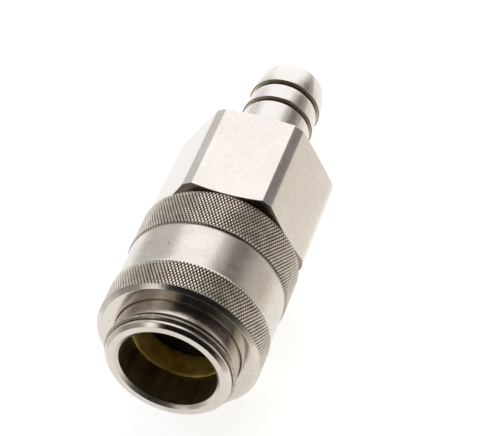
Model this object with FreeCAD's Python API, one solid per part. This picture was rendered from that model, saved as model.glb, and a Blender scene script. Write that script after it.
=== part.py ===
import FreeCAD, Part
import math
import os

# Quick-release ball-lock coupling socket with a hose barb.
# Row frame: millimetres, +Z up, the coupling's axis along Y, its mouth facing -Y and its barb +Y.
# The origin is on the axis where the straight wall of the socket bore starts, behind its lead-in chamfer.
# Stations s below are measured from there along the axis, so y = s, and the flat mouth face lies at s = -MOUTH.

V = FreeCAD.Vector
os.makedirs("parts", exist_ok=True)

# ---- driving dimensions -------------------------------------------------
MOUTH = 0.8            # lead-in chamfer length, mouth face to origin
BORE_R = 13.7          # socket bore for the plug
BORE_END = 9.6         # where the valve chamber starts
CHAMBER_R = 13.9       # bore that the valve sleeve slides in, stepped out from the socket bore
TUBE_R = 17.55         # outside of the nose tube
LIP_FLAT_R = (14.7, 16.45)  # inner and outer edge of the flat mouth face
RING_S = 1.9           # snap ring centre
RING_WIRE_R = 0.75
RING_R = 17.55         # snap ring centreline radius
GROOVE = (0.8, 3.5, 16.75)

SLEEVE_FRONT = 8.0     # sleeve held back, ready to connect
SLEEVE_END = 44.85
SLEEVE_R = 23.0        # over the knurl crests
BAND_R = 22.54         # smooth middle band
KNURL_A = (8.85, 17.25)
KNURL_B = (32.5, 44.25)
BAND = (17.95, 31.95)
SLEEVE_BORE_R = 17.65  # guide and locking lands
RECESS_R = 19.15       # ball recess
POCKET_R = 20.3        # spring pocket, slides over the adapter spigot
POCKET_S = 20.5
SLEEVE_TRAVEL = 4.5    # forward over the balls, stopping just behind the snap ring

BALL_R = 2.38          # 3/16 in steel balls
BALL_N = 10
BALL_S = 13.0
BALL_REST_R = 16.61    # ball centre, held out by the valve skirt
BALL_RATIO = 0.304     # inward travel per unit of sleeve travel
CONE_RUN = (SLEEVE_BORE_R, 17.865)

SKIRT_FRONT = 9.75     # valve sleeve
SKIRT_R = 13.65
SKIRT_BORE_R = 12.9
SEAL_S = 17.4
FLANGE_END = 21.0
VALVE_TUBE_R = 11.1
VALVE_BORE_R = 9.0
GUIDE = (38.0, 46.0)   # inner guide flange of the nose body, its rear face is the valve seat
GUIDE_R = 11.15
REAR_BORE_R = 15.5
THREAD_R = 17.45       # male thread, crest
NOSE_END = 56.0
HEAD = (46.3, 50.5)
HEAD_R = 13.2

ADAPTER_FRONT = 36.0
SPIGOT_R = 20.2
HEX_AF = 41.0
HEX_CORNER_R = 22.85
HEX = (47.3, 48.25, 80.05, 80.5)
BARB_S = (90.4, 100.2, 108.0)
BARB_R = 10.85
BARB_ROOT_R = 9.8
BARB_TIP = 117.15
HOSE_BORE_R = 7.75


def Y(s):
    return s


def turned(points, angle=360.0):
    """A solid of revolution about the coupling's axis from (radius, station) points."""
    pts = [V(r, Y(s), 0) for r, s in points]
    wire = Part.makePolygon(pts + [pts[0]])
    return Part.Face(wire).revolve(V(0, 0, 0), V(0, 1, 0), angle)


def ring(r, s, wire_r, angle=360.0):
    """A round-section ring about the axis."""
    circle = Part.Wire([Part.makeCircle(wire_r, V(r, Y(s), 0), V(0, 0, 1))])
    return Part.Face(circle).revolve(V(0, 0, 0), V(0, 1, 0), angle)


def about_axis(shape, degrees):
    out = shape.copy()
    out.rotate(V(0, 0, 0), V(0, 1, 0), degrees)
    return out


def save(shape, node):
    solids = shape.Solids
    shape = solids[0] if len(solids) == 1 else Part.makeCompound(solids)
    assert shape.isValid(), node
    shape.exportStep("parts/%s.step" % node)
    print("%-18s %10.1f mm3  solids %d" % (node, shape.Volume, len(solids)))


def spring(mean_r, wire_r, s0, s1, turns):
    """A compression spring between two seats."""
    a, b = s0 + wire_r, s1 - wire_r
    path = Part.Wire(Part.makeHelix((b - a) / turns, b - a, mean_r).Edges)
    lean = math.degrees(math.atan2((b - a) / turns, 2 * math.pi * mean_r))
    circle = Part.makeCircle(wire_r, V(mean_r, 0, 0), V(0, 1, 0))
    circle.rotate(V(mean_r, 0, 0), V(1, 0, 0), lean)
    pipe = Part.BRepOffsetAPI.MakePipeShell(path)
    pipe.setFrenetMode(True)
    pipe.add(Part.Wire([circle]))
    pipe.build()
    pipe.makeSolid()
    solid = pipe.shape()
    # the helix climbs along Z; lay it along the coupling's axis
    solid.rotate(V(0, 0, 0), V(1, 0, 0), -90)
    solid.translate(V(0, Y(a), 0))
    return solid


# ---- nose body: socket tube, ball cage, valve guide and seat, male thread --------
outer = [
    (LIP_FLAT_R[1], -MOUTH), (17.42, -0.05), (TUBE_R, 0.1),
    (TUBE_R, GROOVE[0]), (GROOVE[2], GROOVE[0]), (GROOVE[2], GROOVE[1]), (TUBE_R, GROOVE[1]),
    (TUBE_R, 36.0), (16.4, 36.6), (16.4, 38.2), (THREAD_R, 39.2), (THREAD_R, NOSE_END - 0.8), (16.7, NOSE_END),
]
inner = [
    (REAR_BORE_R, NOSE_END), (REAR_BORE_R, GUIDE[1]), (GUIDE_R, GUIDE[1]),
    (GUIDE_R, 41.4), (12.62, 41.4), (12.62, 39.4), (GUIDE_R, 39.4), (GUIDE_R, GUIDE[0]),
    (CHAMBER_R, GUIDE[0]), (CHAMBER_R, BORE_END), (BORE_R, BORE_END), (BORE_R, 0.0), (LIP_FLAT_R[0], -MOUTH),
]
nose = turned(outer + inner)
# ball holes, narrowed towards the bore so that a ball can't fall in
hole = Part.makeCylinder(BALL_R + 0.06, 4.0, V(14.9, Y(BALL_S), 0), V(1, 0, 0))
throat = Part.makeCone(1.93, BALL_R + 0.06, 1.4, V(13.5, Y(BALL_S), 0), V(1, 0, 0))
pierce = hole.fuse(throat)
pierces = [about_axis(pierce, 360.0 * i / BALL_N) for i in range(BALL_N)]
nose = nose.cut(pierces)
save(nose, "nose_body")

# ---- snap ring: round wire, its gap at the underside ------------------------------
gap = 13.0
snap = about_axis(ring(RING_R, RING_S, RING_WIRE_R, 360.0 - gap), 90.0 + gap / 2)
save(snap, "snap_ring")

# ---- balls -------------------------------------------------------------------------
for i in range(BALL_N):
    ball = Part.makeSphere(BALL_R, V(BALL_REST_R, Y(BALL_S), 0))
    save(about_axis(ball, 360.0 * i / BALL_N), "ball_%02d" % (i + 1))

# ---- locking sleeve ------------------------------------------------------------------
sleeve = turned([
    (17.95, SLEEVE_FRONT), (21.55, SLEEVE_FRONT), (SLEEVE_R, KNURL_A[0]),
    (SLEEVE_R, KNURL_A[1]), (BAND_R, BAND[0]),
    (BAND_R, BAND[1]), (SLEEVE_R, KNURL_B[0]),
    (SLEEVE_R, KNURL_B[1]), (22.45, SLEEVE_END), (20.6, SLEEVE_END), (POCKET_R, SLEEVE_END - 0.3),
    (POCKET_R, POCKET_S), (SLEEVE_BORE_R, POCKET_S), (SLEEVE_BORE_R, CONE_RUN[1]),
    (RECESS_R, CONE_RUN[1] - (RECESS_R - SLEEVE_BORE_R) / BALL_RATIO),
    (RECESS_R, 10.45), (SLEEVE_BORE_R, 10.45), (SLEEVE_BORE_R, SLEEVE_FRONT + 0.3),
])
save(sleeve, "locking_sleeve")

# ---- sleeve spring: pushes the sleeve forward from the adapter spigot ---------------
save(spring(18.93, 0.95, POCKET_S + 0.03, ADAPTER_FRONT - 0.03, 4.5), "sleeve_spring")

# ---- valve sleeve: skirt under the balls, seal pocket, ported tube -----------------
valve = turned([
    (SKIRT_BORE_R + 0.3, SKIRT_FRONT), (SKIRT_R - 0.25, SKIRT_FRONT), (SKIRT_R, SKIRT_FRONT + 0.25),
    (SKIRT_R, FLANGE_END - 0.3), (SKIRT_R - 0.3, FLANGE_END), (VALVE_TUBE_R, FLANGE_END),
    (VALVE_TUBE_R, HEAD[0]), (10.2, HEAD[0]), (10.2, 48.4), (VALVE_BORE_R, 48.4),
    (VALVE_BORE_R, 20.2), (12.4, 20.2), (12.4, SEAL_S), (SKIRT_BORE_R, SEAL_S), (SKIRT_BORE_R, SKIRT_FRONT + 0.3),
])
port = Part.makeBox(9.4, 3.2, 6.0, V(-4.7, Y(42.0), 7.0))
valve = valve.cut([about_axis(port, 45.0 + 90.0 * i) for i in range(4)])
save(valve, "valve_sleeve")

# ---- plug seal: black packing in the valve sleeve's pocket ---------------------------
save(turned([
    (12.38, SEAL_S + 0.2), (12.15, SEAL_S - 0.05), (10.9, SEAL_S - 0.05), (9.5, SEAL_S + 0.9),
    (9.5, 20.18), (12.38, 20.18),
]), "plug_seal")

# ---- valve head and its face seal ----------------------------------------------------
head = turned([
    (10.22, HEAD[0]), (11.15, HEAD[0]), (11.15, HEAD[0] + 1.35), (13.0 - 0.1, HEAD[0] + 1.35), (12.9, HEAD[0]),
    (HEAD_R, HEAD[0]), (HEAD_R, HEAD[1] - 1.2), (12.0, HEAD[1]), (0.0, HEAD[1]),
    (0.0, 48.45), (10.22, 48.45),
])
save(head, "valve_head")
save(ring(12.03, HEAD[0] + 0.53, 0.8), "valve_head_seal")

# ---- stem seal in the guide flange ---------------------------------------------------
save(ring(11.87, 40.4, 0.73), "stem_seal")

# ---- valve spring ---------------------------------------------------------------------
save(spring(12.35, 0.75, FLANGE_END + 0.03, GUIDE[0] - 0.03, 4.5), "valve_spring")

# ---- hexagon adapter with the hose barb ------------------------------------------------
hexagon = Part.makePolygon([
    V(HEX_AF / math.sqrt(3) * math.cos(math.radians(60.0 * k)), Y(HEX[0]), HEX_AF / math.sqrt(3) * math.sin(math.radians(60.0 * k)))
    for k in list(range(6)) + [0]
])
prism = Part.Face(hexagon).extrude(V(0, HEX[3] - HEX[0], 0))
if prism.Volume < 0:
    prism.reverse()
envelope = turned([
    (0, HEX[0]), (HEX_AF / 2 - 0.15, HEX[0]), (HEX_CORNER_R, HEX[1]), (HEX_CORNER_R, HEX[2]),
    (HEX_AF / 2 - 0.15, HEX[3]), (0, HEX[3]),
])
hexpart = prism.common(envelope)

barb = [(0, ADAPTER_FRONT), (SPIGOT_R - 0.3, ADAPTER_FRONT), (SPIGOT_R, ADAPTER_FRONT + 0.3), (SPIGOT_R, HEX[0] + 0.5), (10.8, HEX[0] + 0.5),
        (10.8, HEX[3]), (10.3, HEX[3] + 0.5)]
before = 10.3
for k, s in enumerate(BARB_S):
    barb += [(before, s - 1.5), (BARB_ROOT_R, s - 1.35), (BARB_ROOT_R, s - 0.1), (BARB_R, s), (BARB_R, s + 0.55)]
    before = (10.42, 10.36, 0)[k]
tip = []
for k in range(7):
    a = math.radians(15.0 * k)
    tip.append((8.8 + 0.95 * math.cos(a), BARB_TIP - 0.95 + 0.95 * math.sin(a)))
barb += [(10.65, 111.05), (10.29, 113.6)] + tip + [(0, BARB_TIP)]
adapter = hexpart.fuse(turned(barb)).removeSplitter()
hollow = turned([
    (0, ADAPTER_FRONT - 1), (18.1, ADAPTER_FRONT - 1), (18.1, ADAPTER_FRONT), (17.5, ADAPTER_FRONT + 0.6), (17.5, 58.0),
    (15.55, 58.0), (15.55, 60.5), (HOSE_BORE_R, 68.3),
    (HOSE_BORE_R, BARB_TIP - 0.25), (8.0, BARB_TIP), (8.0, BARB_TIP + 1), (0, BARB_TIP + 1),
])
adapter = adapter.cut(hollow)
save(adapter, "hex_adapter")

# ---- body seal between the nose body's end and the adapter's shoulder ------------------
save(ring(16.52, 57.0, 0.93), "body_seal")
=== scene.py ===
import bpy, bmesh, math, random
import numpy as np
from mathutils import Matrix, Vector


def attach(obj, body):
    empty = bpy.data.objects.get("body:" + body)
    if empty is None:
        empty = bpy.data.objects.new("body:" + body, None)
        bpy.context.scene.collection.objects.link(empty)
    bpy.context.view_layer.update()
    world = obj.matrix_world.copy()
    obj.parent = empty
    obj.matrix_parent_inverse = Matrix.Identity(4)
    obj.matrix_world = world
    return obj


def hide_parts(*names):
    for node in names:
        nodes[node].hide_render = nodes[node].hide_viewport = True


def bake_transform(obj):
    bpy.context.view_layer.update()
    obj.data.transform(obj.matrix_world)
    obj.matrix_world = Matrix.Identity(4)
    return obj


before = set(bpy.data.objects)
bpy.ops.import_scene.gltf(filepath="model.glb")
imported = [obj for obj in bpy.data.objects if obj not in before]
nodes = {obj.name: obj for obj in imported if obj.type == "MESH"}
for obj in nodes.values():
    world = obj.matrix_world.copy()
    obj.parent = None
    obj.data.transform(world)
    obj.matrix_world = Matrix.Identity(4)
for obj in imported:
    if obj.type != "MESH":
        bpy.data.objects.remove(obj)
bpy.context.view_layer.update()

MM = 0.001
rng = random.Random(11)


def Y(s):
    """Stations s are millimetres along the axis from the start of the socket bore's straight wall."""
    return s * MM


def pt(r, th, s):
    return (r * math.cos(th) * MM, Y(s), r * math.sin(th) * MM)


# ---------------------------------------------------------------- camera
cam_data = bpy.data.cameras.new("camera")
cam_data.sensor_width = 36.0
cam_data.sensor_fit = "HORIZONTAL"
cam_data.lens = 146.92
cam_data.clip_start, cam_data.clip_end = 0.01, 20
cam = bpy.data.objects.new("camera", cam_data)
bpy.context.scene.collection.objects.link(cam)
cam.matrix_world = Matrix((
    (0.95336523, -0.24721555, 0.17314506, 0.09806751),
    (0.29742018, 0.67192037, -0.67828036, -0.31771821),
    (0.05134176, 0.69814575, 0.71411241, 0.39724926),
    (0, 0, 0, 1)))
bpy.context.scene.camera = cam


# ---------------------------------------------------------------- node helpers
class Tree:
    def __init__(self, tree):
        self.t = tree
        self.x = 0

    def new(self, kind, **props):
        n = self.t.nodes.new(kind)
        self.x += 180
        n.location = (self.x, 0)
        for k, v in props.items():
            setattr(n, k, v)
        return n

    def put(self, socket, value):
        if isinstance(value, bpy.types.NodeSocket):
            self.t.links.new(value, socket)
        elif value is not None:
            socket.default_value = value

    def math(self, op, a, b=None, c=None, clamp=False):
        n = self.new("ShaderNodeMath", operation=op, use_clamp=clamp)
        for i, v in enumerate((a, b, c)):
            if v is not None:
                self.put(n.inputs[i], v)
        return n.outputs[0]

    def span(self, v, a, b, c=0.0, d=1.0, smooth=True):
        n = self.new("ShaderNodeMapRange", interpolation_type="SMOOTHSTEP" if smooth else "LINEAR", clamp=True)
        self.put(n.inputs["Value"], v)
        for k, x in (("From Min", a), ("From Max", b), ("To Min", c), ("To Max", d)):
            self.put(n.inputs[k], x)
        return n.outputs["Result"]

    def mix(self, f, a, b):
        n = self.new("ShaderNodeMix", data_type="RGBA")
        self.put(n.inputs[0], f)
        self.put(n.inputs[6], a)
        self.put(n.inputs[7], b)
        return n.outputs[2]

    def combine(self, x, y, z):
        n = self.new("ShaderNodeCombineXYZ")
        for i, v in enumerate((x, y, z)):
            self.put(n.inputs[i], v)
        return n.outputs[0]

    def noise(self, vec, scale=1.0, detail=2.0, rough=0.5):
        n = self.new("ShaderNodeTexNoise")
        self.put(n.inputs["Vector"], vec)
        n.inputs["Scale"].default_value = scale
        n.inputs["Detail"].default_value = detail
        n.inputs["Roughness"].default_value = rough
        return n.outputs["Fac"]

    def cells(self, vec, scale=1.0, feature="F1"):
        n = self.new("ShaderNodeTexVoronoi", feature=feature)
        self.put(n.inputs["Vector"], vec)
        n.inputs["Scale"].default_value = scale
        return n

    def bump(self, height, strength, dist, normal=None):
        n = self.new("ShaderNodeBump")
        n.inputs["Strength"].default_value = strength
        n.inputs["Distance"].default_value = dist
        self.put(n.inputs["Height"], height)
        if normal is not None:
            self.put(n.inputs["Normal"], normal)
        return n.outputs["Normal"]

    def axial(self):
        """Object coordinates in millimetres: x, y, z, the radius from the coupling's axis and the angle about it."""
        tc = self.new("ShaderNodeTexCoord")
        sep = self.new("ShaderNodeSeparateXYZ")
        self.t.links.new(tc.outputs["Object"], sep.inputs[0])
        x = self.math("MULTIPLY", sep.outputs[0], 1000.0)
        y = self.math("MULTIPLY", sep.outputs[1], 1000.0)
        z = self.math("MULTIPLY", sep.outputs[2], 1000.0)
        r = self.math("SQRT", self.math("ADD", self.math("MULTIPLY", x, x), self.math("MULTIPLY", z, z)))
        a = self.math("ARCTAN2", z, x)
        return x, y, z, r, a


def material(name):
    m = bpy.data.materials.new(name)
    m.use_nodes = True
    b = m.node_tree.nodes["Principled BSDF"]
    return m, Tree(m.node_tree), b


def rgba(c):
    return (c[0], c[1], c[2], 1.0)


# ---------------------------------------------------------------- materials
def plated(name, light, dark, rough, lathe=0.5, grain="turned", pits=0.35, nicks=(), line=0.0, grooves=False, lead_in=False, reflection_streaks=0.0, mottle=0.0, corner_shade=None):
    """Nickel plate over turned or drawn metal: tint drifts slowly, fine tool lines, a few pits."""
    m, t, b = material(name)
    x, y, z, r, a = t.axial()
    slow = t.noise(t.combine(x, y, z), 0.085, 3.0, 0.55)
    haze = t.noise(t.combine(x, y, z), 0.55, 4.0, 0.6)
    if grain == "turned":
        vec = t.combine(t.math("MULTIPLY", r, 9.0), t.math("MULTIPLY", y, 9.0), t.math("MULTIPLY", a, 1.3))
    else:
        vec = t.combine(t.math("MULTIPLY", x, 3.2), t.math("MULTIPLY", y, 0.30), t.math("MULTIPLY", z, 3.2))
    lines = t.noise(vec, 1.0, 4.0, 0.7)
    tint = t.math("ADD", t.math("MULTIPLY", slow, 0.6), t.math("MULTIPLY", haze, 0.4))
    col = t.mix(t.span(tint, 0.36, 0.64), rgba(dark), rgba(light))
    if line:
        col = t.mix(t.math("MULTIPLY", t.span(lines, 0.35, 0.70), line), col, rgba([c * 0.72 for c in dark]))
    if mottle:
        # slightly uneven plating, as on a scraped and plated flat
        spots = t.noise(t.combine(x, t.math("MULTIPLY", y, 0.8), z), 1.25, 3.0, 0.6)
        col = t.mix(t.math("MULTIPLY", t.span(spots, 0.42, 0.66), mottle), col, rgba([c * 0.70 for c in dark]))
    if reflection_streaks:
        # painted reflection: darker bands lie along the bore, placed at random
        streak_mask = t.noise(t.combine(t.math("MULTIPLY", x, 0.25), t.math("MULTIPLY", y, 0.03), t.math("MULTIPLY", z, 0.25)), 1.0, 3.0, 0.55)
        col = t.mix(t.math("MULTIPLY", t.span(streak_mask, 0.40, 0.62), reflection_streaks), col, rgba([c * 0.22 for c in dark]))
    # pits in the plating
    cell = t.cells(t.combine(x, y, z), 0.62)
    keep = t.span(t.noise(t.combine(x, y, z), 0.23, 2.0), 0.56, 0.66)
    pit = t.math("MULTIPLY", t.span(cell.outputs["Distance"], 0.10, 0.05), keep)
    pit = t.math("MULTIPLY", pit, pits)
    for (a0, a1, y0, y1, amount) in nicks:
        zone = t.math("MULTIPLY",
                      t.math("MULTIPLY", t.span(a, a0 - 0.03, a0 + 0.03), t.span(a, a1 + 0.03, a1 - 0.03)),
                      t.math("MULTIPLY", t.span(y, y0 - 0.6, y0 + 0.6), t.span(y, y1 + 0.6, y1 - 0.6)))
        fine = t.cells(t.combine(t.math("MULTIPLY", x, 1.0), t.math("MULTIPLY", y, 0.7), z), 0.66)
        gate = t.span(t.noise(t.combine(x, y, z), 0.9, 1.0), 0.50, 0.58)
        hit = t.math("MULTIPLY", t.math("MULTIPLY", t.span(fine.outputs["Distance"], 0.27, 0.15), gate), zone)
        pit = t.math("MAXIMUM", pit, t.math("MULTIPLY", hit, amount))
    col = t.mix(pit, col, rgba((0.16, 0.135, 0.105)))
    if corner_shade:
        # painted shade in the angle against the second knurled band
        c0, c1 = corner_shade
        col = t.mix(t.math("MULTIPLY", t.span(y, c0, c0 + 0.14), 0.45), col, rgba((0.07, 0.057, 0.042)))
    rough_extra = None
    if grooves:
        # grooves in front of the barb's crests: stained floor, and painted shade on the groove's floor, on its rear
        # wall and under the lip
        stain, groove_shade_line = None, None
        for s0 in (90.4, 100.2, 108.0):
            u = t.math("SUBTRACT", y, s0)
            g = t.math("MULTIPLY", t.span(u, -1.60, -1.50), t.span(u, 0.04, 0.0))
            g = t.math("MULTIPLY", g, t.span(r, 10.84, 10.76))
            lip = t.math("MULTIPLY", t.span(r, 10.47, 10.56), t.span(u, -0.30, -0.20))
            far = t.math("MAXIMUM", t.span(u, -0.16, -0.24), t.math("MULTIPLY", t.span(r, 10.0, 9.92), 0.8))
            d = t.math("MULTIPLY", g, t.math("MAXIMUM", lip, far))
            stain = g if stain is None else t.math("MAXIMUM", stain, g)
            groove_shade_line = d if groove_shade_line is None else t.math("MAXIMUM", groove_shade_line, d)
        col = t.mix(stain, col, t.mix(t.span(slow, 0.4, 0.6), rgba((0.80, 0.64, 0.47)), rgba((0.93, 0.77, 0.60))))
        # painted shade, nearly black, in the grooves
        col = t.mix(groove_shade_line, col, rgba((0.075, 0.058, 0.043)))
        rough_extra = t.math("MULTIPLY", stain, 0.30)
        # painted shade on the hexagon's front chamfer, in the gap against the sleeve
        chamfer_shade = t.math("MULTIPLY", t.span(y, 48.9, 48.4), t.span(r, 19.7, 20.3))
        col = t.mix(t.math("MULTIPLY", chamfer_shade, 0.85), col, rgba((0.22, 0.185, 0.145)))
    t.put(b.inputs["Base Color"], col)
    b.inputs["Metallic"].default_value = 1.0
    ro = t.math("ADD", t.math("MULTIPLY", haze, 0.16), rough - 0.08)
    ro = t.math("ADD", ro, t.math("MULTIPLY", lines, 0.05))
    if lead_in:
        rough_extra = t.math("MULTIPLY", t.span(r, 14.74, 14.62), 0.13)
    if rough_extra is not None:
        ro = t.math("ADD", ro, rough_extra)
    t.put(b.inputs["Roughness"], t.math("ADD", ro, t.math("MULTIPLY", pit, 0.3), clamp=True))
    h = t.math("SUBTRACT", t.math("MULTIPLY", lines, lathe), pit)
    t.put(b.inputs["Normal"], t.bump(h, 0.35, 0.00002))
    return m


NICKEL_L, NICKEL_D = (0.735, 0.675, 0.605), (0.665, 0.600, 0.525)
m_nose = plated("nickel_nose", (0.70, 0.64, 0.575), (0.64, 0.58, 0.51), 0.14, lathe=0.12, pits=0.12, lead_in=True)
# the smooth sleeve carries a band of painted shade from 31.80 mm, against the second knurled band
m_sleeve = plated("nickel_sleeve_smooth", (0.73, 0.675, 0.62), (0.63, 0.575, 0.52), 0.19, lathe=0.30, pits=0.5, mottle=0.12, corner_shade=(31.80, 32.5),
                  nicks=((1.93, 2.36, 22.9, 26.2, 0.75), (0.22, 0.56, 23.3, 25.8, 0.6), (0.68, 0.90, 23.9, 26.4, 0.8)))
m_face = plated("nickel_sleeve_face", (0.72, 0.66, 0.60), (0.66, 0.60, 0.53), 0.15, lathe=0.12, pits=0.7, mottle=0.18,
                nicks=((2.45, 3.05, 7.7, 8.3, 0.7),))
m_hex = plated("nickel_hex_drawn", (0.785, 0.73, 0.68), (0.735, 0.675, 0.62), 0.20, lathe=0.9, grain="drawn", pits=0.9, line=0.16, mottle=0.15)
m_turned = plated("nickel_adapter_turned", (0.74, 0.70, 0.66), (0.69, 0.645, 0.60), 0.17, lathe=0.5, pits=0.2, grooves=True)
# the bore's inside: the nose's nickel made darker and browner as painted shade, with painted reflection bands along it
m_bore_shaded = plated("nickel_bore_shaded", (0.36, 0.31, 0.21), (0.27, 0.23, 0.155), 0.36, lathe=0.6, pits=0.1, reflection_streaks=0.5)


def knurled():
    m, t, b = material("nickel_knurl")
    x, y, z, r, a = t.axial()
    depth = t.span(r, 22.58, 22.97, 0.0, 1.0, smooth=False)
    grime = t.noise(t.combine(x, y, z), 0.35, 3.0, 0.6)
    # painted shade and light by depth: the knurl's roots go nearly black and its crests are lighter than the plain
    # nickel
    crest_painted_light = t.mix(t.span(grime, 0.35, 0.65), rgba((0.72, 0.645, 0.56)), rgba((0.90, 0.82, 0.73)))
    root_painted_shade = t.mix(t.span(grime, 0.35, 0.65), rgba((0.15, 0.12, 0.09)), rgba((0.25, 0.205, 0.155)))
    col = t.mix(t.span(depth, 0.15, 0.9), root_painted_shade, crest_painted_light)
    # painted shade in the angle at the front of the second knurled band
    corner_shade = t.math("MULTIPLY", t.span(y, 31.80, 31.95), t.span(y, 32.72, 32.50))
    col = t.mix(t.math("MULTIPLY", corner_shade, 0.45), col, rgba((0.07, 0.057, 0.042)))
    t.put(b.inputs["Base Color"], col)
    b.inputs["Metallic"].default_value = 1.0
    t.put(b.inputs["Roughness"], t.span(depth, 0.1, 0.95, 0.55, 0.30))
    t.put(b.inputs["Normal"], t.bump(t.noise(t.combine(x, y, z), 6.0, 2.0), 0.25, 0.00002))
    return m


m_knurl = knurled()


def simple_metal(name, light, dark, rough, scale=0.5, lines=0.3, amount=0.10):
    m, t, b = material(name)
    x, y, z, r, a = t.axial()
    n = t.noise(t.combine(x, y, z), scale, 4.0, 0.6)
    t.put(b.inputs["Base Color"], t.mix(t.span(n, 0.35, 0.65), rgba(dark), rgba(light)))
    b.inputs["Metallic"].default_value = 1.0
    t.put(b.inputs["Roughness"], t.math("ADD", t.math("MULTIPLY", n, amount), rough - amount / 2))
    v = t.combine(t.math("MULTIPLY", r, 8.0), t.math("MULTIPLY", y, 8.0), a)
    t.put(b.inputs["Normal"], t.bump(t.noise(v, 1.0, 2.0), lines, 0.00002))
    return m


m_brass = simple_metal("brass_turned", (0.92, 0.75, 0.26), (0.66, 0.51, 0.16), 0.66, 0.22, 0.25, 0.10)
m_ring = simple_metal("steel_snap_ring", (0.48, 0.425, 0.37), (0.34, 0.30, 0.26), 0.12, 0.8, 0.2)
m_spring = simple_metal("spring_steel_wire", (0.42, 0.41, 0.40), (0.30, 0.29, 0.28), 0.33, 0.8, 0.2)
m_ball = simple_metal("ball_steel", (0.78, 0.78, 0.79), (0.70, 0.70, 0.71), 0.08, 0.8, 0.05, 0.05)


def rubber():
    m, t, b = material("seal_rubber_black")
    x, y, z, r, a = t.axial()
    n = t.noise(t.combine(x, y, z), 2.2, 5.0, 0.65)
    t.put(b.inputs["Base Color"], t.mix(t.span(n, 0.35, 0.7), rgba((0.006, 0.006, 0.007)), rgba((0.014, 0.014, 0.016))))
    b.inputs["Specular IOR Level"].default_value = 0.25
    t.put(b.inputs["Roughness"], t.span(n, 0.3, 0.7, 0.42, 0.62))
    t.put(b.inputs["Normal"], t.bump(n, 0.3, 0.00003))
    return m


m_rubber = rubber()


# ---------------------------------------------------------------- mesh helpers
def finish_mesh(name, verts, faces, mats, body, replaces=None, smooth=None, index=None, sharp_deg=32.0, weighted=True):
    me = bpy.data.meshes.new(name)
    me.from_pydata(verts, [], faces)
    me.validate()
    bm = bmesh.new()
    bm.from_mesh(me)
    bmesh.ops.recalc_face_normals(bm, faces=bm.faces)
    for i, f in enumerate(bm.faces):
        f.smooth = True if smooth is None else bool(smooth[i])
        if index is not None:
            f.material_index = index[i]
    lim = math.radians(sharp_deg)
    for e in bm.edges:
        if len(e.link_faces) == 2 and e.calc_face_angle(0) > lim:
            e.smooth = False
    bm.to_mesh(me)
    bm.free()
    o = bpy.data.objects.new(name, me)
    bpy.context.scene.collection.objects.link(o)
    for m in mats:
        me.materials.append(m)
    if weighted:
        w = o.modifiers.new("weighted", "WEIGHTED_NORMAL")
        w.keep_sharp = True
        w.weight = 80
    if replaces:
        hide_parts(replaces)
    if body:
        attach(o, body)
    return o


def fillet(points, steps=3):
    """points are (r, s) or (r, s, radius); corners with a radius become arcs. The outline is closed."""
    out = []
    n = len(points)
    for i, p in enumerate(points):
        rad = p[2] if len(p) > 2 else 0.0
        c = Vector((p[0], p[1]))
        if rad <= 0:
            out.append((c.x, c.y))
            continue
        a = Vector(points[i - 1][:2]) - c
        b = Vector(points[(i + 1) % n][:2]) - c
        la, lb = a.length, b.length
        a.normalize(); b.normalize()
        ang = a.angle(b)
        if ang > math.pi - 0.02:
            out.append((c.x, c.y))
            continue
        cut = min(rad / math.tan(ang / 2), 0.48 * la, 0.48 * lb)
        rr = cut * math.tan(ang / 2)
        centre = c + (a + b).normalized() * (rr / math.sin(ang / 2))
        v0, v1 = (c + a * cut) - centre, (c + b * cut) - centre
        turn = v0.angle_signed(v1)
        for k in range(steps + 1):
            w = v0.copy()
            w.rotate(Matrix.Rotation(-turn * k / steps, 2))
            out.append((centre.x + w.x, centre.y + w.y))
    return out


def lathe(outline, seg, phase=0.0):
    """Revolves a closed (r, s) outline about the coupling's axis. Points on the axis are shared."""
    verts, faces, rows = [], [], []
    for r, s in outline:
        if r < 1e-6:
            rows.append([len(verts)] * seg)
            verts.append((0.0, Y(s), 0.0))
        else:
            rows.append(list(range(len(verts), len(verts) + seg)))
            verts += [pt(r, phase + 2 * math.pi * k / seg, s) for k in range(seg)]
    n = len(rows)
    for i in range(n):
        a, b = rows[i], rows[(i + 1) % n]
        if a[0] == a[1] and b[0] == b[1]:
            continue
        for k in range(seg):
            q = [a[k], a[(k + 1) % seg], b[(k + 1) % seg], b[k]]
            q = [v for j, v in enumerate(q) if v not in q[:j]]
            if len(q) >= 3:
                faces.append(q)
    return verts, faces


def boolean(o, cutter):
    mod = o.modifiers.new("cut", "BOOLEAN")
    mod.operation = "DIFFERENCE"
    mod.solver = "EXACT"
    mod.object = cutter
    bpy.context.view_layer.update()
    dg = bpy.context.evaluated_depsgraph_get()
    me = bpy.data.meshes.new_from_object(o.evaluated_get(dg))
    o.modifiers.clear()
    old = o.data
    o.data = me
    bpy.data.meshes.remove(old)
    bpy.data.objects.remove(cutter)
    return o


def raw(name, verts, faces):
    me = bpy.data.meshes.new(name)
    me.from_pydata(verts, [], faces)
    bm = bmesh.new(); bm.from_mesh(me)
    bmesh.ops.recalc_face_normals(bm, faces=bm.faces)
    bm.to_mesh(me); bm.free()
    o = bpy.data.objects.new(name, me)
    bpy.context.scene.collection.objects.link(o)
    return o


def dress(o, mats, sharp_deg=32.0):
    """Shading for a mesh that came out of a cut."""
    bm = bmesh.new(); bm.from_mesh(o.data)
    bmesh.ops.remove_doubles(bm, verts=bm.verts, dist=1e-7)
    lim = math.radians(sharp_deg)
    for f in bm.faces:
        f.smooth = True
    for e in bm.edges:
        e.smooth = not (len(e.link_faces) == 2 and e.calc_face_angle(0) > lim)
    bm.to_mesh(o.data); bm.free()
    o.data.materials.clear()
    for m in mats:
        o.data.materials.append(m)
    w = o.modifiers.new("weighted", "WEIGHTED_NORMAL")
    w.keep_sharp = True
    w.weight = 80


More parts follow.
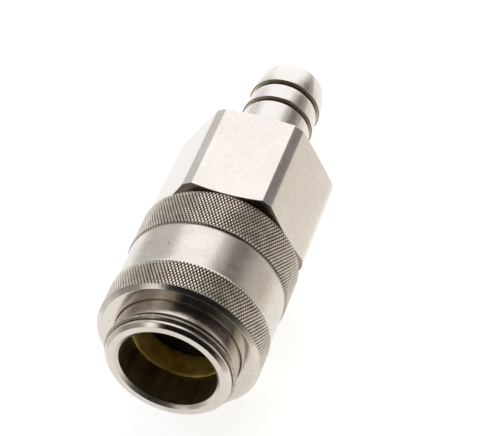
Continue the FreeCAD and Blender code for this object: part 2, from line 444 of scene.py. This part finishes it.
# ---------------------------------------------------------------- nose body
nose_outline = fillet([
    (16.45, -0.8, 0.07), (17.46, -0.02, 0.10), (17.55, 0.12, 0.06),
    (17.55, 0.8, 0.07), (16.75, 0.8), (16.75, 3.5), (17.55, 3.5, 0.12),
    (17.55, 36.0), (16.4, 36.6), (16.4, 38.2), (17.45, 39.2), (17.45, 55.2), (16.7, 56.0),
    (15.5, 56.0), (15.5, 46.0), (11.15, 46.0), (11.15, 41.4), (12.62, 41.4), (12.62, 39.4), (11.15, 39.4), (11.15, 38.0),
    (13.9, 38.0), (13.9, 9.6), (13.7, 9.6), (13.7, 0.0, 0.15), (14.7, -0.8, 0.07),
])
v, f = lathe(nose_outline, 240)
nose = raw("nose_body_turned", v, f)
# ball holes with their narrower throats
hv, hf = [], []
HS = 40
for i in range(10):
    th = 2 * math.pi * i / 10
    ax = Vector((math.cos(th), 0, -math.sin(th)))
    up, side = Vector((0, 1, 0)), Vector((0, 1, 0)).cross(ax)
    base = len(hv)
    prof = [(13.4, 1.895), (14.9, 2.44), (18.6, 2.44)]
    for rad, rr in prof:
        for k in range(HS):
            w = 2 * math.pi * k / HS
            p = ax * rad + up * 13.0 + (up * math.sin(w) + side * math.cos(w)) * rr
            hv.append(tuple(p * MM))
    for j in range(len(prof) - 1):
        for k in range(HS):
            hf.append([base + j * HS + k, base + j * HS + (k + 1) % HS, base + (j + 1) * HS + (k + 1) % HS, base + (j + 1) * HS + k])
    hf.append([base + k for k in range(HS)][::-1])
    hf.append([base + (len(prof) - 1) * HS + k for k in range(HS)])
boolean(nose, raw("hole_cutter", hv, hf))
dress(nose, [m_nose, m_bore_shaded])
# faces inside the bore get the painted-shade copy of the nickel
for p in nose.data.polygons:
    if math.hypot(p.center.x, p.center.z) < 14.2 * MM and p.center.y > 0.2 * MM:
        p.material_index = 1
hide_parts("nose_body"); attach(nose, "nose")


# ---------------------------------------------------------------- snap ring
def swept(name, path, radius, sides, mats, body, replaces, cap=True, taper=None):
    n = len(path)
    P = [Vector(p) for p in path]
    verts, faces = [], []
    for i in range(n):
        tan = (P[min(i + 1, n - 1)] - P[max(i - 1, 0)]).normalized()
        out = Vector((P[i].x, 0, P[i].z)).normalized()
        nrm = (out - tan * out.dot(tan)).normalized()
        bi = tan.cross(nrm)
        rr = radius if taper is None else radius * taper(i, n)
        for k in range(sides):
            w = 2 * math.pi * k / sides
            verts.append(tuple(P[i] + (nrm * math.cos(w) + bi * math.sin(w)) * rr))
    for i in range(n - 1):
        for k in range(sides):
            faces.append([i * sides + k, i * sides + (k + 1) % sides, (i + 1) * sides + (k + 1) % sides, (i + 1) * sides + k])
    faces.append(list(range(sides))[::-1])
    faces.append([(n - 1) * sides + k for k in range(sides)])
    return finish_mesh(name, verts, faces, mats, body, replaces, sharp_deg=50)


def end_round(i, n):
    d = min(i, n - 1 - i)
    return (0.72, 0.90, 0.98, 1.0)[min(d, 3)]


gap = math.radians(13.2)
steps = 300
path = []
for k in range(steps + 1):
    th = -math.pi / 2 + gap / 2 + (2 * math.pi - gap) * k / steps
    path.append(pt(17.55, th, 1.9))
swept("snap_ring_wire", path, 0.75 * MM, 28, [m_ring], "nose", "snap_ring", taper=end_round)

# ---------------------------------------------------------------- locking sleeve with real knurling
N = 144
W = 0.235
R_ROOT, R_TOP = 22.60, 22.985


def knurl_band(verts, faces, flat, idx, s0, s1, periods, cone0=None, cone1=None):
    """Diamond knurl between stations s0 and s1. Returns the first and last rows, three points per tooth, for the rings either side."""
    def add(a, b, r, s=None):
        s = s0 + (s1 - s0) * b / periods if s is None else s
        verts.append(pt(r, 2 * math.pi * a / N, s))
        return len(verts) - 1

    V, VH, TL, TR, HL, HR = [], [], [], [], [], []
    for j in range(periods + 1):
        cone = cone0 if j == 0 else cone1 if j == periods else None
        V.append([add(k, j, R_ROOT, cone(R_ROOT) if cone else None) for k in range(N)])
        tl, tr = [], []
        for k in range(N):
            r = R_TOP - rng.random() * 0.035
            d = W + rng.uniform(-0.012, 0.012)
            tl.append(add(k + 0.5 - d, j, r, cone(r) if cone else None))
            tr.append(add(k + 0.5 + d, j, r, cone(r) if cone else None))
        TL.append(tl); TR.append(tr)
        if j < periods:
            VH.append([add(k + 0.5, j + 0.5, R_ROOT) for k in range(N)])
            hl, hr = [], []
            for k in range(N):
                r = R_TOP - rng.random() * 0.035
                d = W + rng.uniform(-0.012, 0.012)
                hl.append(add(k - d, j + 0.5, r)); hr.append(add(k + d, j + 0.5, r))
            HL.append(hl); HR.append(hr)

    def face(f, top=False):
        faces.append(f); flat.append(False if not top else False); idx.append(1)

    for j in range(periods + 1):
        for k in range(N):
            L, R = V[j][k], V[j][(k + 1) % N]
            l, r = TL[j][k], TR[j][k]
            rad = R_TOP - 0.015
            t = add(k + 0.5, j + W, rad) if j < periods else None
            b = add(k + 0.5, j - W, rad) if j > 0 else None
            if t is not None:
                T = VH[j][k]
                face([R, T, t, r]); face([T, L, l, t])
            if b is not None:
                B = VH[j - 1][k]
                face([L, B, b, l]); face([B, R, r, b])
            if t is not None and b is not None:
                face([l, b, r, t], True)
            elif t is not None:
                face([l, r, t], True)
            else:
                face([l, b, r], True)
            if j < periods:
                L2, R2, T2, B2 = VH[j][(k - 1) % N], VH[j][k], V[j + 1][k], V[j][k]
                l2, r2 = HL[j][k], HR[j][k]
                t2, b2 = add(k, j + 0.5 + W, rad), add(k, j + 0.5 - W, rad)
                face([L2, B2, b2, l2]); face([B2, R2, r2, b2]); face([R2, T2, t2, r2]); face([T2, L2, l2, t2])
                face([l2, b2, r2, t2], True)
    row0 = [v for k in range(N) for v in (V[0][k], TL[0][k], TR[0][k])]
    row1 = [v for k in range(N) for v in (V[-1][k], TL[-1][k], TR[-1][k])]
    return row0, row1


verts, faces, flat, idx = [], [], [], []
angles = [2 * math.pi * a / N for k in range(N) for a in (k, k + 0.5 - W, k + 0.5 + W)]


def circle(r, s):
    base = len(verts)
    verts.extend(pt(r, th, s) for th in angles)
    return list(range(base, base + len(angles)))


def join(a, b, mat=0):
    n = len(a)
    for k in range(n):
        faces.append([a[k], a[(k + 1) % n], b[(k + 1) % n], b[k]])
        flat.append(True); idx.append(mat)


front_cone = lambda r: 8.0 + (r - 21.55) * 0.85 / 1.45
rear_cone = lambda r: 44.85 - (r - 22.45) * 0.60 / 0.55
step_a = lambda r: 17.25 + (23.0 - r) * 0.70 / 0.46
step_b = lambda r: 32.5 - (23.0 - r) * 0.55 / 0.46
a0, a1 = knurl_band(verts, faces, flat, idx, 8.85, 17.25, 5, front_cone, step_a)
b0, b1 = knurl_band(verts, faces, flat, idx, 32.5, 44.25, 7, step_b, rear_cone)
front = fillet([(22.52, front_cone(22.52)), (21.55, 8.0, 0.10), (17.98, 8.0, 0.10), (17.65, 8.33, 0.08)], 3)
# rings from the front knurl over the front face into the bore
outer_front = [circle(r, s) for r, s in [
    (22.52, front_cone(22.52)), (22.0, front_cone(22.0)), (21.66, front_cone(21.66)), (21.60, 8.022), (21.54, 8.0), (21.40, 8.0),
    (20.2, 8.0), (18.9, 8.0), (18.10, 8.0), (17.98, 8.02), (17.90, 8.08),
    (17.70, 8.28), (17.65, 8.36), (17.65, 8.6), (17.65, 10.45), (19.15, 10.45), (19.15, 12.93), (17.65, 17.865), (17.65, 20.5), (20.3, 20.5),
    (20.3, 44.5), (20.36, 44.65), (20.55, 44.83), (20.7, 44.85), (21.4, 44.85), (22.30, 44.85), (22.38, 44.84), (22.46, 44.80)]]
mid = [circle(r, s) for r, s in [
    (22.56, 17.925), (22.54, 17.98), (22.54, 18.5), (22.54, 21.0), (22.54, 25.0), (22.54, 29.0), (22.54, 31.4), (22.54, 31.92), (22.56, 31.965)]]
join(a0, outer_front[0], 2)
for i, (p, q) in enumerate(zip(outer_front, outer_front[1:])):
    join(p, q, 2 if i < 12 else 0)
join(outer_front[-1], b1)
join(a1, mid[0])
for p, q in zip(mid, mid[1:]):
    join(p, q)
join(mid[-1], b0)
sleeve = finish_mesh("locking_sleeve_knurled", verts, faces, [m_sleeve, m_knurl, m_face], "locking_sleeve", "locking_sleeve",
                     smooth=flat, index=idx, sharp_deg=28)


# ---------------------------------------------------------------- hexagon adapter with hose barb
AF2, RC = 20.5, 22.85
edge = math.acos(AF2 / RC)
angs = []
for k in range(6):
    c = math.radians(60 * k + 30)        # flats face 30, 90, ... degrees; 90 is straight up
    d = math.radians(0.30)
    n = 18
    angs += [c - edge + d + (2 * (edge - d)) * i / n for i in range(n + 1)]
    gap_a = math.radians(60) - 2 * edge
    angs += [c + edge + d + (gap_a - 2 * d) * i / 4 for i in range(5)]
HEXR = []
for th in angs:
    q = (th - math.radians(30)) % math.radians(60)
    q = min(q, math.radians(60) - q)
    HEXR.append(min(AF2 / math.cos(q), RC))
verts, faces, idx = [], [], []
M = len(angs)


def hexrow(fr, fs):
    base = len(verts)
    for th, h in zip(angs, HEXR):
        verts.append(pt(fr(h), th, fs(h)))
    return list(range(base, base + M))


def ringrow(r, s):
    return hexrow(lambda h: r, lambda h: s)


def bridge(a, b, mat):
    for k in range(M):
        faces.append([a[k], a[(k + 1) % M], b[(k + 1) % M], b[k]])
        idx.append(mat)


KF, KR = 0.95 / 2.5, 0.45 / 2.5
fcone = lambda r: 47.3 + (r - 20.35) * KF
rcone = lambda r: 80.5 - (r - 20.35) * KR
rows = [
    (ringrow(20.20, 47.22), 1), (ringrow(20.22, 47.29), 1), (ringrow(20.30, 47.3), 1), (ringrow(20.36, 47.31), 1),
    (hexrow(lambda h: h - 0.10, lambda h: fcone(h - 0.10)), 1),
    (hexrow(lambda h: h - 0.03, lambda h: fcone(h) + 0.0), 1),
    (hexrow(lambda h: h, lambda h: fcone(h) + 0.09), 0),
    (hexrow(lambda h: h, lambda h: fcone(h) + 0.5), 0),
    (ringrow(0, 0), 0),
]
rows.pop(); del verts[-M:]
for s in (52.0, 58.0, 64.0, 70.0, 75.0):
    rows.append((hexrow(lambda h: h, lambda h, s=s: s), 0))
rows += [
    (hexrow(lambda h: h, lambda h: rcone(h) - 0.5), 0),
    (hexrow(lambda h: h, lambda h: rcone(h) - 0.09), 0),
    (hexrow(lambda h: h - 0.03, lambda h: rcone(h)), 1),
    (hexrow(lambda h: h - 0.10, lambda h: rcone(h - 0.10)), 1),
    (ringrow(20.36, 80.49), 1), (ringrow(20.25, 80.5), 1), (ringrow(15.0, 80.5), 1), (ringrow(11.2, 80.5), 1), (ringrow(10.75, 80.56), 1),
    (ringrow(10.42, 80.8), 1), (ringrow(10.3, 81.2), 1), (ringrow(10.3, 85.0), 1),
]
before = 10.3
for k, s in enumerate((90.4, 100.2, 108.0)):
    nxt = (10.42, 10.36, 0)[k]
    rows += [(ringrow(before, s - 1.62), 1), (ringrow(before - 0.03, s - 1.53), 1), (ringrow(before - 0.12, s - 1.48), 1),
             (ringrow(9.88, s - 1.40), 1), (ringrow(9.8, s - 1.30), 1), (ringrow(9.8, s - 0.20), 1), (ringrow(9.88, s - 0.10), 1),
             (ringrow(10.70, s - 0.02), 1), (ringrow(10.82, s + 0.03), 1), (ringrow(10.85, s + 0.12), 1), (ringrow(10.85, s + 0.42), 1), (ringrow(10.83, s + 0.62), 1)]
    if nxt:
        rows.append((ringrow((10.83 + nxt) / 2, s + 4.2), 1))
        before = nxt
taper = lambda s: 10.85 - 0.35 * (s - 108.55) / 7.65 - 0.75 * ((s - 108.55) / 7.65) ** 2
rows += [(ringrow(taper(s), s), 1) for s in (109.8, 111.2, 112.6, 114.0, 115.2)]
for k in range(8):
    a = math.radians(90.0 * k / 7)
    rows.append((ringrow(8.8 + 0.95 * math.cos(a), 116.2 + 0.95 * math.sin(a)), 1))
rows += [(ringrow(r, s), 1) for r, s in [
    (8.06, 117.13), (7.9, 117.05), (7.75, 116.85), (7.75, 110.0), (7.75, 68.3), (15.55, 60.5), (15.55, 58.0), (17.5, 58.0), (17.5, 36.6),
    (18.1, 36.0), (19.8, 36.0), (20.1, 36.08), (20.2, 36.3), (20.2, 40.0), (20.2, 45.5)]]
for (a, m), (b, m2) in zip(rows, rows[1:] + rows[:1]):
    bridge(a, b, 0 if (m == 0 and m2 == 0) else 1)
adapter = finish_mesh("hex_adapter_barbed", verts, faces, [m_hex, m_turned], "nose", "hex_adapter", index=idx, sharp_deg=24)

# ---------------------------------------------------------------- valve: brass sleeve, seal, head
valve_outline = fillet([
    (13.52, 9.75, 0.04), (13.65, 9.95, 0.05), (13.65, 20.7, 0.1), (13.35, 21.0), (11.1, 21.0), (11.1, 46.3), (10.2, 46.3), (10.2, 48.4),
    (9.0, 48.4), (9.0, 20.2), (12.4, 20.2), (12.4, 17.4), (12.9, 17.4), (12.9, 10.25, 0.15), (13.10, 9.86, 0.06), (13.42, 9.75, 0.04)])
v, f = lathe(valve_outline, 192)
valve = raw("valve_sleeve_brass", v, f)
cv, cf = [], []
for i in range(4):
    th = math.radians(45 + 90 * i)
    ax = Vector((math.sin(th), 0, math.cos(th)))
    side = Vector((math.cos(th), 0, -math.sin(th)))
    base = len(cv)
    for rad in (7.0, 13.0):
        for k in range(24):
            w = 2 * math.pi * k / 24
            # rounded slot across the tube
            cx = 3.1 * (1 if math.cos(w) > 0 else -1) + 1.6 * math.cos(w)
            p = ax * rad + side * cx + Vector((0, 43.6 + 1.6 * math.sin(w), 0))
            cv.append(tuple(p * MM))
    cf += [[base + k, base + (k + 1) % 24, base + 24 + (k + 1) % 24, base + 24 + k] for k in range(24)]
    cf += [[base + k for k in range(24)][::-1], [base + 24 + k for k in range(24)]]
boolean(valve, raw("port_cutter", cv, cf))
dress(valve, [m_brass])
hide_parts("valve_sleeve"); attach(valve, "valve")

seal_outline = fillet([(12.38, 17.38), (12.86, 17.38, 0.05), (12.86, 17.0, 0.15), (10.9, 17.0, 0.35), (9.5, 18.0, 0.3), (9.5, 20.18, 0.1), (12.38, 20.18, 0.1)], 4)
v, f = lathe(seal_outline, 160)
finish_mesh("plug_seal_moulded", v, f, [m_rubber], "valve", "plug_seal")

head_outline = fillet([
    (10.22, 46.3), (11.15, 46.3, 0.05), (11.15, 47.65), (12.9, 47.65), (12.9, 46.3, 0.05), (13.2, 46.3, 0.06), (13.2, 49.3, 0.2),
    (12.0, 50.5, 0.3), (0.0, 50.5), (0.0, 48.45), (10.22, 48.45)])
v, f = lathe(head_outline, 144)
finish_mesh("valve_head_disc", v, f, [m_brass], "valve", "valve_head")


# ---------------------------------------------------------------- springs, closed at both ends
def coil(name, mean_r, wire_r, s0, s1, live, dead, sides, mats, replaces):
    total = live + 2 * dead
    steps = int(total * 72)
    a, b = s0 + wire_r, s1 - wire_r
    climb = []
    y = 0.0
    for i in range(steps + 1):
        tnow = total * i / steps
        climb.append(y)
        e = min(tnow, total - tnow)
        k = min(max((e - dead * 0.7) / (dead * 0.6), 0.0), 1.0)
        k = k * k * (3 - 2 * k)
        y += (2.02 * wire_r) * (1 - k) + 100.0 * k if False else (1 - k) * 2.02 * wire_r / 72 + k * PITCH[0] / 72
    scale = (b - a) / climb[-1]
    path = [pt(mean_r, 2 * math.pi * total * i / steps, a + climb[i] * scale) for i in range(steps + 1)]
    o = swept(name, path, wire_r * MM, sides, mats, None, replaces)
    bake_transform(o)
    return o


PITCH = [3.9]
coil("sleeve_spring_wire", 18.93, 0.95, 20.53, 35.97, 3.0, 0.8, 14, [m_spring], "sleeve_spring")
PITCH = [3.6]
coil("valve_spring_wire", 12.35, 0.75, 21.03, 37.97, 3.6, 0.8, 14, [m_spring], "valve_spring")

# ---------------------------------------------------------------- carried-over CAD nodes
for n, m in [("valve_head_seal", m_rubber), ("stem_seal", m_rubber), ("body_seal", m_rubber)] + [("ball_%02d" % i, m_ball) for i in range(1, 11)]:
    o = nodes[n]
    o.data.materials.clear()
    o.data.materials.append(m)
    for p in o.data.polygons:
        p.use_smooth = True

# ---------------------------------------------------------------- floor and light
FLOOR = -23.0 * MM - 0.00003
me = bpy.data.meshes.new("floor")
S = 2.4
me.from_pydata([(-S, -S, FLOOR), (S, -S, FLOOR), (S, S, FLOOR), (-S, S, FLOOR)], [], [(0, 1, 2, 3)])
floor = bpy.data.objects.new("floor", me)
bpy.context.scene.collection.objects.link(floor)
m, t, b = material("floor_white")
tc = t.new("ShaderNodeTexCoord")
t.put(b.inputs["Base Color"], t.mix(t.noise(tc.outputs["Object"], 6.0, 3.0), rgba((0.80, 0.80, 0.80)), rgba((0.82, 0.82, 0.82))))
b.inputs["Roughness"].default_value = 0.9
b.inputs["Specular IOR Level"].default_value = 0.1
sep = t.new("ShaderNodeSeparateXYZ")
t.t.links.new(tc.outputs["Object"], sep.inputs[0])
t.put(b.inputs["Emission Color"], t.mix(t.span(sep.outputs[0], 0.045, -0.035), rgba((0.78, 0.78, 0.77)), rgba((0.78, 0.79, 0.80))))
b.inputs["Emission Strength"].default_value = 0.90      # a light table
me.materials.append(m)

# a card on the floor around the set that glows and is seen in reflections only: a painted reflection of the table,
# dimming towards the front and sides
HOLE = (-0.115, 0.088, -0.036, 0.26)
cv = [(-2.3, -2.3), (2.3, -2.3), (2.3, HOLE[2]), (HOLE[1], HOLE[2]), (HOLE[1], HOLE[3]), (2.3, 2.3),
      (-2.3, HOLE[2]), (HOLE[0], HOLE[2]), (HOLE[0], HOLE[3]), (-2.3, 2.3),
      (-0.036, HOLE[2]), (-0.036, -0.004), (HOLE[0], -0.004)]
me = bpy.data.meshes.new("card")
me.from_pydata([(x, y, FLOOR + 0.0004) for x, y in cv], [], [(0, 1, 2, 3, 10, 7, 6), (3, 2, 5, 4), (6, 7, 12, 8, 9), (7, 10, 11, 12)])
card = bpy.data.objects.new("card", me)
bpy.context.scene.collection.objects.link(card)
m = bpy.data.materials.new("card_reflection_glow")
m.use_nodes = True
t = Tree(m.node_tree)
for n in list(m.node_tree.nodes):
    if n.type == "BSDF_PRINCIPLED":
        m.node_tree.nodes.remove(n)
tc = t.new("ShaderNodeTexCoord")
sep = t.new("ShaderNodeSeparateXYZ")
t.t.links.new(tc.outputs["Object"], sep.inputs[0])
cx, cy, cz = sep.outputs
front = t.math("ADD", t.span(cy, -0.24, -0.10, 0.05, 0.34, smooth=False), t.span(cy, -0.10, -0.02, 0.0, 0.52, smooth=False))
front = t.math("MAXIMUM", front, t.span(cx, -0.05, -0.13, 0.05, 0.38))
right = t.math("MULTIPLY", t.span(cx, -0.02, 0.12, 1.0, 1.05, smooth=False), t.span(cx, 0.15, 0.26, 1.0, 0.72, smooth=False))
left = t.span(cx, -0.12, -0.40, 1.12, 0.82, smooth=False)
left = t.math("ADD", 1.0, t.math("MULTIPLY", t.math("SUBTRACT", left, 1.0), t.span(cx, -0.02, -0.10)))
val = t.math("MULTIPLY", t.math("MULTIPLY", front, right), left)
val = t.math("MULTIPLY", val, t.span(cx, -0.030, -0.040, 1.0, 0.86))
em = t.new("ShaderNodeEmission")
warm = t.span(cx, -0.10, 0.06)
rgb = t.combine(val, t.math("MULTIPLY", val, t.span(warm, 0.0, 1.0, 1.0, 0.965, smooth=False)),
                t.math("MULTIPLY", val, t.span(warm, 0.0, 1.0, 0.99, 0.885, smooth=False)))
t.t.links.new(rgb, em.inputs["Color"])
t.t.links.new(em.outputs[0], [n for n in m.node_tree.nodes if n.type == "OUTPUT_MATERIAL"][0].inputs["Surface"])
me.materials.append(m)
card.visible_camera = False
card.visible_diffuse = False
card.visible_transmission = False
card.visible_shadow = False

world = bpy.data.worlds.new("studio")
bpy.context.scene.world = world
world.use_nodes = True
t = Tree(world.node_tree)
bg = world.node_tree.nodes["Background"]
tc = t.new("ShaderNodeTexCoord")
sep = t.new("ShaderNodeSeparateXYZ")
t.t.links.new(tc.outputs["Generated"], sep.inputs[0])
X_, Y_, Z_ = sep.outputs
DEG = math.degrees(1.0)
el = t.math("MULTIPLY", t.math("ARCSINE", Z_), DEG)
azf = t.math("MULTIPLY", t.math("ARCTAN2", X_, t.math("MULTIPLY", Y_, -1.0)), DEG)   # 0 towards -Y, where the camera is
azb = t.math("MULTIPLY", t.math("ARCTAN2", X_, Y_), DEG)                              # 0 towards +Y, behind the part


def window(az, a0, a1, e0, e1, soft_a=8.0, soft_e=8.0):
    w = t.math("MULTIPLY", t.span(az, a0 - soft_a, a0 + soft_a), t.span(az, a1 + soft_a, a1 - soft_a))
    h = t.math("MULTIPLY", t.span(el, e0 - soft_e, e0 + soft_e), t.span(el, e1 + soft_e, e1 - soft_e))
    return t.math("MULTIPLY", w, h)


def level(v, g=1.0, b=1.0):
    return (v, v * g, v * b, 1.0)


col = t.mix(t.span(el, -5.0, 70.0), level(0.58, 0.97, 0.90), level(0.55, 0.98, 0.95))
# right-hand wall: dimmer higher up
col = t.mix(window(azb, 44, 125, 30, 80, 8, 8), col, level(0.36, 0.97, 0.90))
# the left side is a little brighter than the right
col = t.mix(window(azb, -120, -40, -20, 60, 12, 10), col, level(0.73, 1.01, 1.03))
# right-hand wall, brighter near the table
col = t.mix(window(azb, 45, 66, -16, 20, 5, 6), col, level(0.78, 0.97, 0.90))
# big soft light behind, from the table up; its right edge leans
lean = t.math("ADD", azb, t.math("MULTIPLY", t.math("MAXIMUM", t.math("SUBTRACT", el, 24.0), 0.0), 0.35))
col = t.mix(window(lean, -38, 20, -4, 66, 6, 6), col, level(1.34, 1.0, 1.03))
# right-hand wall next to it, lower down
col = t.mix(window(azb, 24, 46, -12, 16, 5, 5), col, level(0.44, 0.97, 0.90))
# dark gap between the right-hand wall and the back light
col = t.mix(window(azb, 27, 43, 13, 62, 5, 6), col, level(0.20, 0.92, 0.93))
# dark room in front of the part
col = t.mix(window(azf, -72, -30, -12, 62, 6, 7), col, level(0.37, 0.96, 0.88))
col = t.mix(window(azf, -27, 51, -14, 66, 3, 4), col, level(0.006))
col = t.mix(window(azf, 51, 72, -14, 62, 4, 6), col, level(0.24))
# lights in the front-left part of the room
col = t.mix(window(azf, -52, -42, 25, 46, 3, 4), col, level(0.74))
col = t.mix(window(azf, -38, -25.5, 2, 23, 3.5, 4), col, level(1.50))
col = t.mix(window(azf, -34, -23, -6, 5, 3, 3), col, level(0.55))
t.put(bg.inputs["Color"], col)
bg.inputs["Strength"].default_value = 1.0

bpy.context.scene.view_settings.view_transform = "Standard"
bpy.context.scene.view_settings.look = "None"
